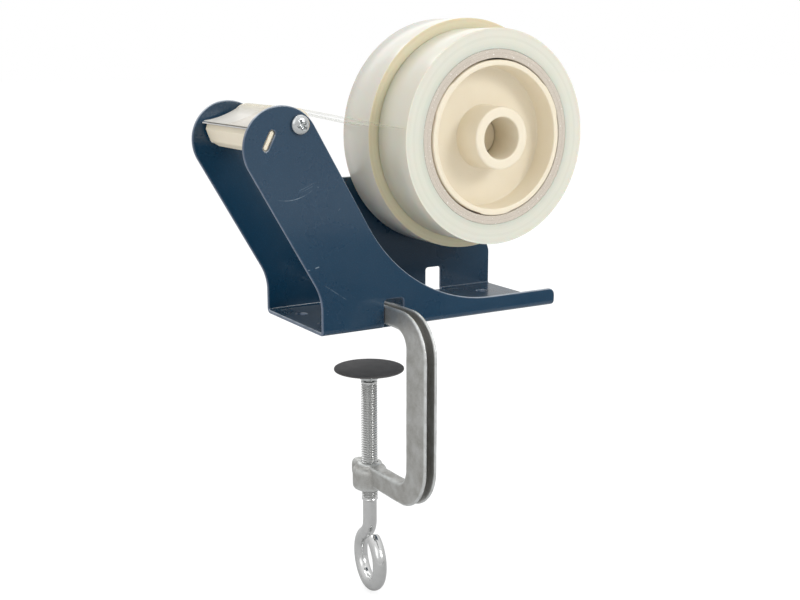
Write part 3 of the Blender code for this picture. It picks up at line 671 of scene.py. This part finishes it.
def spindle():
    """The flanged sleeve that carries the rolls, and the bolt and washer that hold it to the far cheek."""
    bore_r, flange = 4.15, CHEEK_INSIDE - 1.7
    sleeve = [
        (0, -11.0, 0),
        (9.9, -11.0, 0.9),
        (9.9, flange, 0.8),
        (15.0, flange, 0.5),
        (15.0, CHEEK_INSIDE, 0.2),
        (bore_r, CHEEK_INSIDE, 0),
        (bore_r, CHEEK_INSIDE - 22.0, 0),
        (0, CHEEK_INSIDE - 22.0, 0),
    ]
    keep(turned("spindle_sleeve", rounded(sleeve, math.radians(15)), SPINDLE), "frame", CREAM, "spindle")

    low, high = CHEEK_OUTSIDE, CHEEK_OUTSIDE + 1.6
    washer = rounded([(4.3, low, 0.15), (8.5, low, 0.3), (8.5, high, 0.3), (4.3, high, 0.15)], 0.3)
    keep(turned("spindle_washer_ring", washer, SPINDLE, segments=72), "frame", ZINC, "spindle_washer")

    seat, height, corner = high + GAP, 5.3, 13.0 / 2 / math.cos(math.pi / 6)
    points, faces = plate([circle(SPINDLE, corner, 6)], height, 0.2, lambda a, b, w: (a, seat + w, b))
    head = mesh_piece("spindle_bolt_head", points, faces)
    wide, shoulder, top = corner + 0.8, seat + 3.9, seat + height
    cone = [(0, seat - 1), (wide, seat - 1), (wide, shoulder), (corner * 0.83, top), (0, top)]
    combine(head, turned("bolt_cone", cone, SPINDLE, segments=96), "INTERSECT")
    head.data.set_sharp_from_angle(angle=math.radians(25))
    keep(head, "frame", ZINC, "spindle_bolt")
    shank = [(0, 9.0), (3.4, 9.0), (4.0, 9.8), (4.0, seat), (0, seat)]
    keep(turned("spindle_bolt_shank", shank, SPINDLE, segments=48), "frame", ZINC)


def hub(prefix, front, proud):
    """A moulded hub: rim with three gripping pads, mid web and a bored boss, whose front may stand proud."""
    back, web_low, web_high = front + HUB_WIDTH, front + 13.1, front + 15.7
    rim_r, grip = 37.25, 0.5
    profile = [
        (10.15, front - proud, 0.8),
        (15.2, front - proud, 1.1),
        (15.5, web_low, 0.5),
        (34.1, web_low, 0.8),
        (34.6, front, 0.6),
        (rim_r, front, 0.7),
        (rim_r, back, 0.7),
        (34.6, back, 0.6),
        (34.0, web_high, 1.6),
        (15.5, web_high, 1.6),
        (15.0, back, 0.6),
        (10.15, back, 0.8),
    ]

    def pads(radius, turn):
        if radius < rim_r - 1.05:
            return radius
        wave = max(0.0, math.cos(3 * (turn - 0.5)) - 0.72) / 0.28
        return radius + grip * min(1.0, 2.5 * wave)

    profile = rounded(profile, math.radians(15))
    piece = turned(prefix + "_hub_moulding", profile, SPINDLE, segments=180, angle=40, shape=pads)
    keep(piece, prefix + "_roll", CREAM, prefix + "_hub")


def core(prefix, low):
    """A cardboard tube whose layers end unevenly."""
    high = low + TAPE_WIDTH
    random.seed(prefix)
    layers = [(CORE_IN + 0.15 + 0.5 * k, random.uniform(-0.07, 0.09)) for k in range(9)]
    layers = [(r, d) for r, d in layers if r < CORE_OUT - 0.1]
    profile = [(CORE_IN, low + 0.25), *[(r, low + 0.08 + d) for r, d in layers], (CORE_OUT, low + 0.25)]
    profile += [(CORE_OUT, high - 0.25), *[(r, high - 0.08 - d) for r, d in layers[::-1]], (CORE_IN, high - 0.25)]
    piece = turned(prefix + "_core_tube", profile, SPINDLE, segments=160, angle=60)
    keep(piece, prefix + "_roll", CARD, prefix + "_core")


def tape_roll(prefix, low, radius, finish):
    """Wound turns whose edges stand a little in or out of the side face."""
    high, inner, edge = low + TAPE_WIDTH, CORE_OUT + 0.12, radius - 0.12
    random.seed(prefix + "turns")
    count = int((radius - inner) / 0.42)
    turns, depth = [], 0.0
    for k in range(1, count):
        depth = 0.7 * depth + random.uniform(-0.025, 0.025)
        turns.append((inner + (radius - inner) * k / count, depth))
    profile = [(inner, low + 0.2), *[(r, low + 0.1 + d) for r, d in turns], (edge, low + 0.05), (radius, low + 0.22)]
    profile += [(radius, high - 0.22), (edge, high - 0.05)]
    profile += [*[(r, high - 0.1 - d) for r, d in turns[::-1]], (inner, high - 0.2)]
    piece = turned(prefix + "_wound_tape", profile, SPINDLE, segments=224, angle=60)
    keep(piece, prefix + "_roll", finish, prefix + "_tape_roll")


# ---- film strips

# Steps along a strip: straight from the roll, round the guide roller, and curving down to the blade.
STRAIGHT, WRAP, DROP = 16, 12, 24


def strip_path(tape_r):
    """Centre line (x, z) of a strip: roll, top of the guide roller, blade."""
    radius, tip = GUIDE_R + 0.2, Vector(STRIP_TIP)

    def on_guide(angle):
        return Vector(around(GUIDE, radius, angle))

    rise = STRIP_ROLL_Z - SPINDLE[1]
    start = Vector((SPINDLE[0] - math.sqrt((tape_r + 0.05) ** 2 - rise**2), STRIP_ROLL_Z))
    to_start = start - Vector(GUIDE)
    first = math.atan2(to_start.y, to_start.x) + math.acos(radius / to_start.length)
    slope, end_slope = math.radians(32), math.radians(8)
    last = math.pi / 2 + slope
    path = [start.lerp(on_guide(first), k / STRAIGHT) for k in range(STRAIGHT)]
    path += [on_guide(first + (last - first) * k / WRAP) for k in range(WRAP + 1)]
    leave = path[-1]
    reach = (leave - tip).length / 3
    one, two = around(leave, -reach, slope), around(tip, reach, end_slope)
    return path + [bezier(leave, Vector(one), Vector(two), tip, k / DROP) for k in range(1, DROP + 1)]


def strip(name, low, tape_r, finish, node, flare):
    """A strip of film with a saw-cut end. flare lifts its far corner at the cut end."""
    path = strip_path(tape_r)
    across, thick, teeth = 84, 0.07, 14
    rows = []
    for i, point in enumerate(path):
        along = (path[min(i + 1, len(path) - 1)] - path[max(i - 1, 0)]).normalized()
        normal = Vector((along.y, -along.x))
        if normal.y < 0:
            normal = -normal
        end = max(0.0, (i - len(path) + 12) / 11)
        droop = 0.25 * math.sin(math.pi * i / STRAIGHT) if i < STRAIGHT else 0.0
        row = []
        for k in range(across + 1):
            share = k / across
            lift = flare * end**2 * max(0.0, share - 0.55) ** 2 / 0.2
            here = point + normal * (lift - droop * math.sin(math.pi * share))
            if i == len(path) - 1:
                tooth = abs((share * teeth) % 1 - 0.5) * 2
                here = here + (path[-2] - path[-1]).normalized() * tooth * 0.35
            row.append((here, normal, low + TAPE_WIDTH * share))
        rows.append(row)
    points, faces = [], []
    for sign in (0.5, -0.5):
        for row in rows:
            for here, normal, y in row:
                spot = here + normal * thick * sign
                points.append((spot.x, y, spot.y))
    width, layer = across + 1, len(rows) * (across + 1)
    for i in range(len(rows) - 1):
        for k in range(across):
            a, b = i * width + k, (i + 1) * width + k
            faces.append((a, a + 1, b + 1, b))
            faces.append((layer + a, layer + b, layer + b + 1, layer + a + 1))
    last = layer - width
    rim = [*range(width), *range(width + across, layer, width)]
    rim += [*range(last + across - 1, last - 1, -1), *range(last - width, 0, -width)]
    for a, b in zip(rim, rim[1:] + rim[:1]):
        faces.append((a, layer + a, layer + b, b))
    keep(mesh_piece(name, points, faces, 50), "frame", finish, node)


# ---- head


def guide_parts():
    """The guide roller, the tube that it turns on and the screws that hold the tube."""
    low, high = -CHEEK_INSIDE, CHEEK_INSIDE
    axle = rounded([(2.35, low, 0.1), (3.9, low, 0.3), (3.9, high, 0.3), (2.35, high, 0.1)], 0.4)
    keep(turned("guide_axle_tube", axle, GUIDE, segments=64), "frame", ZINC, "guide_axle")
    # Two rings beside the near end keep the shading of its rounded edge off the long wall.
    low, high = -27.2, 27.2
    sleeve = [(4.1, low, 0.3), (GUIDE_R, low, 0.8), (GUIDE_R, low + 1.0, 0), (GUIDE_R, low + 1.8, 0)]
    sleeve = rounded([*sleeve, (GUIDE_R, high, 0.8), (4.1, high, 0.3)], 0.3)
    keep(turned("guide_sleeve", sleeve, GUIDE, segments=96), "guide_roller", CREAM, "guide_roller")
    for name, sign in (("guide_screw_near", -1), ("guide_screw_far", 1)):
        keep(pan_head(name + "_body", sign), "frame", ZINC, name)


def pan_head(name, sign):
    """A domed screw head with a cross recess, and its shank, as rings round the guide roller's axis."""
    rim, height, dome_low, steps, sides = 4.4, 2.9, 0.75, 34, 120

    def recess(x, y):
        """The cross's depth at a point of the head. Its two slots slope down to the middle."""
        deep = 0.0
        for angle in (math.radians(24), math.radians(24 + 90)):
            along = abs(x * math.cos(angle) + y * math.sin(angle))
            off = abs(-x * math.sin(angle) + y * math.cos(angle))
            share = min(1.0, max(0.0, (0.66 - off) / 0.26)) * min(1.0, max(0.0, (2.45 - along) / 0.5))
            deep = max(deep, share * (1.9 - 0.45 * along))
        return deep

    levels = [(1.7, -12.0), (2.25, -11.2), (2.25, 0.0), (rim - 0.15, 0.0), (rim, 0.15), (rim, dome_low)]
    for k in range(1, steps):
        angle = math.pi / 2 * k / (steps + 0.5)
        levels.append((rim * math.cos(angle), dome_low + (height - dome_low) * math.sin(angle)))
    rings = []
    for radius, up in levels:
        ring = []
        for step in range(sides):
            turn = 2 * math.pi * step / sides
            x, z = radius * math.cos(turn), radius * math.sin(turn)
            out = CHEEK_OUTSIDE + up - (recess(x, z) if up > dome_low else 0.0)
            ring.append((GUIDE[0] + x, sign * out, GUIDE[1] + z))
        rings.append(ring)
    return loft(name, rings, 55)


def blade_and_holder():
    """The holder between the cheeks, its end tabs in their slots, and the saw blade on its sloping top."""
    back = Vector((math.cos(BLADE_SLOPE), math.sin(BLADE_SLOPE)))
    up = Vector((-back.y, back.x))
    tip = Vector(BLADE_TIP)
    seat = tip - up * GAP
    bar = [
        (*(seat + back * 2.0), 0.35),
        (-30.9, 92.4, 0.8),
        (-28.7, 86.6, 0.5),
        (-24.4, 84.0, 0.6),
        (-20.4, 85.6, 1.0),
        (-18.4, 94.0, 1.0),
        (*(seat + back * 11.4), 0.8),
    ]
    bar_length = 2 * CHEEK_INSIDE - 1.8
    points, faces = plate([rounded(bar, math.radians(15))], bar_length, 0.4, lambda a, b, w: (a, w - CHEEK_INSIDE, b))
    keep(weighted(mesh_piece("blade_holder_bar", points, faces, 60)), "frame", CREAM, "blade_holder")

    low, high = Vector(TAB_LOW), Vector(TAB_HIGH)
    trim = (high - low).normalized() * 0.55
    tab = stadium(low + trim, high - trim, 1.9)
    for name, side in (("holder_tab_near", -1), ("holder_tab_far", 1)):
        points, faces = plate([tab], 3.4, 0.3, lambda a, b, w, side=side: (a, side * (CHEEK_INSIDE - 2.2 + w), b))
        keep(mesh_piece(name, points, faces, 60), "frame", CREAM)

    half, pitch, deep, depth = CHEEK_INSIDE - 0.3, 1.0, 0.5, 10.0
    count = round(2 * half / pitch)
    teeth = []
    for k in range(count):
        y = -half + 2 * half * k / count
        teeth += [(y, deep), (y + half / count, 0.0)]

    def place(a, b, w):
        spot = tip + back * b + up * w
        return spot.x, a, spot.y

    points, faces = plate([teeth + [(half, deep), (half, depth), (-half, depth)]], 0.55, 0.06, place, steps=1)
    keep(mesh_piece("saw_blade", points, faces, 25), "frame", BLADE_STEEL, "cutter_blade")


# ---- clamp


def rail(corners, counts, arc_steps):
    """Points along an open line whose corners (a, b, radius) are rounded, evenly many on matching rails."""
    spots, last = [], Vector(corners[0][:2])
    for i, steps in enumerate(counts, 1):
        here, radius = Vector(corners[i][:2]), corners[i][2]
        if radius > 0:
            centre, start, turn = fillet(last, here, Vector(corners[i + 1][:2]), radius)
            arc = [centre + Matrix.Rotation(turn * k / arc_steps, 2) @ start for k in range(arc_steps + 1)]
        else:
            arc = [here]
        spots += [last.lerp(arc[0], k / steps) for k in range(steps)] + arc[:-1]
        last = arc[-1]
    return spots + [last]


def clamp():
    """The cast C frame: a U section swept round the C, with the screw boss grown into its lower arm."""
    under, arc_steps, counts = SHEET + GAP, 14, (16, 6, 26, 16, 12)
    inside = [(8, under, 0), (-30, under, 0), (-48, under, 8.5), (-48, -73.2, 9.0), (-16, -74.0, 0), (3.4, -74.6, 0)]
    outside = [(8, 9.8, 0), (-30, 11.2, 0), (-64.7, 11.2, 20.2), (-64.7, -83.2, 22.5), (-16, -83.8, 0), (3.4, -83.0, 0)]
    one, two = rail(inside, counts, arc_steps), rail(outside, counts, arc_steps)
    # Four more sections round off the lower arm's end, each further out and pinched further in.
    end_r, closing = 2.6, [math.radians(a) for a in (25, 50, 70, 84)]
    pinches = [0.0] * len(one) + [end_r * (1 - math.cos(a)) for a in closing]
    for line in (one, two):
        line += [line[-1] + Vector((end_r * math.sin(a), 0)) for a in closing]
    rings = []
    for a, b, pinch in zip(one, two, pinches):
        out = (b - a).normalized()
        a, b = a + out * pinch, b - out * pinch
        depth = (b - a).length
        fade, corner = 1.0, 1.0
        if a.y < -60 and a.x > -34:
            # Along the lower arm the groove runs out before the boss, and the end's corners are rounder.
            fade = min(1.0, max(0.0, (-18.0 - a.x) / 7))
            corner = 1.0 + 1.6 * min(1.0, max(0.0, (a.x + 14) / 8))
        groove = max(0.25, 0.6 * depth * fade)
        root = min(0.8, 0.4 * groove)
        half = [(CLAMP_HALF, 0, corner), (CLAMP_HALF, depth, 0.6), (2.0, depth, 0.35), (1.75, depth - groove, root)]
        section = [(-CLAMP_HALF, 0, corner), *half, *[(-x, q, r) for x, q, r in half[:0:-1]]]
        slim = 1 - pinch / CLAMP_HALF
        section = rounded(section, arcs=4)
        rings.append([(CLAMP_X + x * slim, a.x + out.x * q, a.y + out.y * q) for x, q in section])
    piece = loft("clamp_casting", rings)
    boss = [(0, -87.0, 0), (8.6, -87.0, 2.0), (8.6, -76.4, 2.6), (6.4, -75.2, 0.8), (6.0, -73.2, 0.7), (0, -73.2, 0)]
    combine(piece, turned("boss", rounded(boss, 0.3), SCREW_AXIS, "Z", 64), "UNION", "MANIFOLD")
    change = piece.modifiers.new("cast skin", "REMESH")
    change.mode, change.voxel_size = "VOXEL", 0.5 * MM
    change = piece.modifiers.new("soften", "SMOOTH")
    change.factor, change.iterations = 0.5, 5
    bake(piece)
    spots = [vert.co.copy() for vert in piece.data.vertices]
    outward = [vert.normal.copy() for vert in piece.data.vertices]
    for vert, spot, out in zip(piece.data.vertices, spots, outward):
        vert.co = spot + out * (0.09 * noise.noise(spot * 130) + 0.04 * noise.noise(spot * 420)) * MM
    bore = turned("bore", [(0, -95), (BORE_R, -95), (BORE_R, -65), (0, -65)], SCREW_AXIS, "Z", 64)
    combine(piece, bore, "DIFFERENCE", "MANIFOLD")
    piece.data.shade_smooth()
    piece.data.set_sharp_from_angle(angle=math.radians(50))
    keep(piece, "clamp", CAST, "clamp_frame")


def screw():
    """Button tip, rolled thread, plain shank and an eye bent from the shank, as one swept rod."""
    turns = [2 * math.pi * k / 48 for k in range(48)]

    def level(z, radius):
        """A ring at height z. The radius is a number or a function of (turn, z)."""
        ring = []
        for turn in turns:
            r = radius(turn, z) if callable(radius) else radius
            ring.append((*around(SCREW_AXIS, r, turn), z))
        return ring

    def thread(turn, z):
        phase = (z / THREAD_PITCH - turn / (2 * math.pi)) % 1.0
        cut = min(1.0, max(0.0, (1 - abs(2 * phase - 1) - 0.08) / 0.76))
        fade = min(1.0, (z - THREAD_END) / 2.0, THREAD_TOP - z + 0.25)
        return THREAD_CREST - (THREAD_CREST - THREAD_ROOT) * cut * max(0.0, fade)

    button = [(-28.2, 0.05), (-28.2, 3.2), (-28.5, 3.7), (-28.7, 3.7), (-28.7, 2.4), (-31.0, 2.4)]
    rings = [level(z, r) for z, r in [*button, (-31.1, 2.6), (-31.15, 3.1)]]
    z = THREAD_TOP + 0.7
    while z > THREAD_END:
        rings.append(level(z, thread))
        z -= THREAD_PITCH / 9
    rings += [level(THREAD_END - 0.1, 3.9), level(THREAD_END - 0.7, ROD_R), *shank_and_eye(turns)]
    keep(loft("clamp_screw_rod", rings, 50), "screw", BRIGHT, "clamp_screw")


def shank_and_eye(turns):
    """Rings down the shank, over to one side and round the eye, to a rounded end just short of closing it."""
    first, last = math.radians(55), math.radians(-248)

    def on_eye(angle):
        return Vector(around((0, 0), EYE_R, angle))

    join, heading = on_eye(first), Vector((math.sin(first), -math.cos(first)))
    top = Vector((0, EYE_R + 8.4))
    path = [Vector((0, THREAD_END - 1.4 - EYE_Z - k * 1.5)) for k in range(6)]
    path += [bezier(top, top + Vector((0, -5.0)), join - heading * 5.0, join, k / 16) for k in range(16)]
    path += [on_eye(first + (last - first) * k / 72) for k in range(73)]
    radii = [ROD_R] * len(path)
    tail = (path[-1] - path[-2]).normalized()
    closing = ((0.35, 3.45), (0.7, 3.2), (0.9, 2.7), (0.95, 1.4), (0.95, 0.05))
    for reach, r in closing:
        path.append(on_eye(last) + tail * reach)
        radii.append(r)
    rings = []
    for i, (here, radius) in enumerate(zip(path, radii)):
        before, after = path[max(i - 1, 0)], path[min(i + 1, len(path) - 1)]
        along = (after - before).normalized() if i < len(path) - len(closing) else tail
        side = Vector((-along.y, along.x))
        ring = []
        for turn in turns:
            flat, deep = here + side * radius * math.sin(turn), radius * math.cos(turn)
            x = CLAMP_X + deep * math.cos(EYE_TURN) + flat.x * math.sin(EYE_TURN)
            y = SCREW_Y + flat.x * math.cos(EYE_TURN) - deep * math.sin(EYE_TURN)
            ring.append((x, y, EYE_Z + flat.y))
        rings.append(ring)
    return rings


def pad():
    """The pad's dished disc and the socket cup that holds it on the screw's button."""
    low = PAD_TOP - 2.2
    face = [(0, low, 0), (10.0, low, 0), (17.3, PAD_TOP - 0.9, 0.3), (17.3, PAD_TOP, 0.35), (0, PAD_TOP, 0)]
    keep(turned("pad_disc", rounded(face, 0.2), SCREW_AXIS, "Z", 128, 40), "pad", PAD_BLACK, "clamp_pad")
    seat = low - GAP
    cup = [
        (2.65, -30.2, 0.1),
        (4.6, -30.2, 0.3),
        (5.4, -28.9, 0.6),
        (8.5, seat - 0.8, 0.3),
        (8.5, seat, 0.2),
        (0, seat, 0),
        (0, seat - 0.6, 0),
        (4.9, seat - 0.8, 0.3),
        (4.4, -29.3, 0.2),
        (2.65, -29.4, 0.1),
    ]
    keep(turned("pad_socket_cup", rounded(cup, 0.3), SCREW_AXIS, "Z", 72, 40), "pad", ZINC, "pad_socket")


channel()
spindle()
hub("front", FRONT_HUB_Y, BOSS_PROUD)
hub("rear", REAR_HUB_Y, 0.0)
core("front", FRONT_TAPE_Y)
core("rear", REAR_TAPE_Y)
tape_roll("front", FRONT_TAPE_Y, FRONT_TAPE_R, CLEAR_TAPE)
tape_roll("rear", REAR_TAPE_Y, REAR_TAPE_R, WHITE_TAPE)
strip("front_film", FRONT_TAPE_Y, FRONT_TAPE_R, CLEAR_FILM, "front_tape_strip", 0.0)
strip("rear_film", REAR_TAPE_Y, REAR_TAPE_R, WHITE_FILM, "rear_tape_strip", 0.3)
guide_parts()
blade_and_holder()
clamp()
screw()
pad()


# ---- floor, light and camera


def put(name, data, location, rotation):
    """Places a lamp or the camera."""
    made = bpy.data.objects.new(name, data)
    made.location, made.rotation_euler = location, rotation
    bpy.context.scene.collection.objects.link(made)
    return made


def pale_floor():
    """A wide floor, white to the camera. Reflections see it darker, with a dark patch before the near cheek."""
    z, half = (cad_box[0][2] - 0.0005) / MM, 9000
    corners = [(DATUM.x + a, b, z) for a, b in ((-half, -half), (half, -half), (half, half), (-half, half))]
    floor = mesh_piece("floor", corners, [(0, 1, 2, 3)])
    f = Finish("pale_floor", (0.93, 0.93, 0.93), 0.9, Specular_IOR_Level=0.0)
    rays = f.node("LightPath").outputs
    patch = f.remap(f.radius((DATUM.x + 450, -700, 0), "Z"), 0.36, 0.46)
    seen = f.times(patch, f.remap(f.radius(DATUM, "Z"), 0.2, 2.5, 0.56, 0.95))
    seen = f.math("MAXIMUM", seen, 0.05)
    reflected = f.node("CombineColor", {0: seen, 1: seen, 2: seen}).outputs[0]
    base = f.mix(rays["Is Camera Ray"], (0.93, 0.93, 0.93), (0.28, 0.28, 0.28))
    f.shade(Base_Color=f.mix(rays["Is Glossy Ray"], base, reflected))
    f.shade(Emission_Color=(1.0, 1.0, 1.0, 1.0), Emission_Strength=f.times(rays["Is Camera Ray"], 0.80))
    floor.data.materials.append(f.material)


def studio():
    """A world that is white to the camera and 0.76 to surfaces. Reflections see it darker low down."""
    world = bpy.data.worlds.new("studio")
    bpy.context.scene.world = world
    tree = Tree(world)
    rays = tree.node("LightPath").outputs
    height = tree.split(tree.node("TexCoord").outputs["Generated"])["Z"]
    reflected = tree.remap(height, 0.0, 0.9, 0.62, 1.0)
    lighting = tree.node("Mix", {0: rays["Is Glossy Ray"], 2: 0.76, 3: reflected})
    strength = tree.node("Mix", {0: rays["Is Camera Ray"], 2: lighting, 3: 1.0})
    tree.set(tree.nodes["Background"], "Color", (1.0, 1.0, 1.0, 1.0))
    tree.set(tree.nodes["Background"], "Strength", strength)


def lamps():
    """Big soft lamps, all turned to the middle of the object."""
    centre = Vector((0.0, 0.0, 0.02))
    for name, spot, size, power in (
        ("key", (0.75, -1.65, 0.95), 0.6, 13),
        ("rim", (-0.35, 0.45, 1.2), 0.35, 2.6),
        ("fill", (-1.5, -0.9, 0.9), 1.2, 3),
        ("back", (0.3, 1.3, 1.5), 1.8, 8),
    ):
        lamp = bpy.data.lights.new(name, "AREA")
        lamp.size, lamp.energy = size, power
        put(name, lamp, spot, (Vector(spot) - centre).to_track_quat("Z", "Y").to_euler())


def camera():
    data = bpy.data.cameras.new("camera")
    data.sensor_width, data.lens = 36.0, 52.32
    turn = (math.radians(90 - 12.26), 0, math.radians(-31.29))
    bpy.context.scene.camera = put("camera", data, (-0.30441, -0.48824, 0.12949), turn)


pale_floor()
studio()
lamps()
camera()
bpy.context.scene.view_settings.view_transform = "Standard"
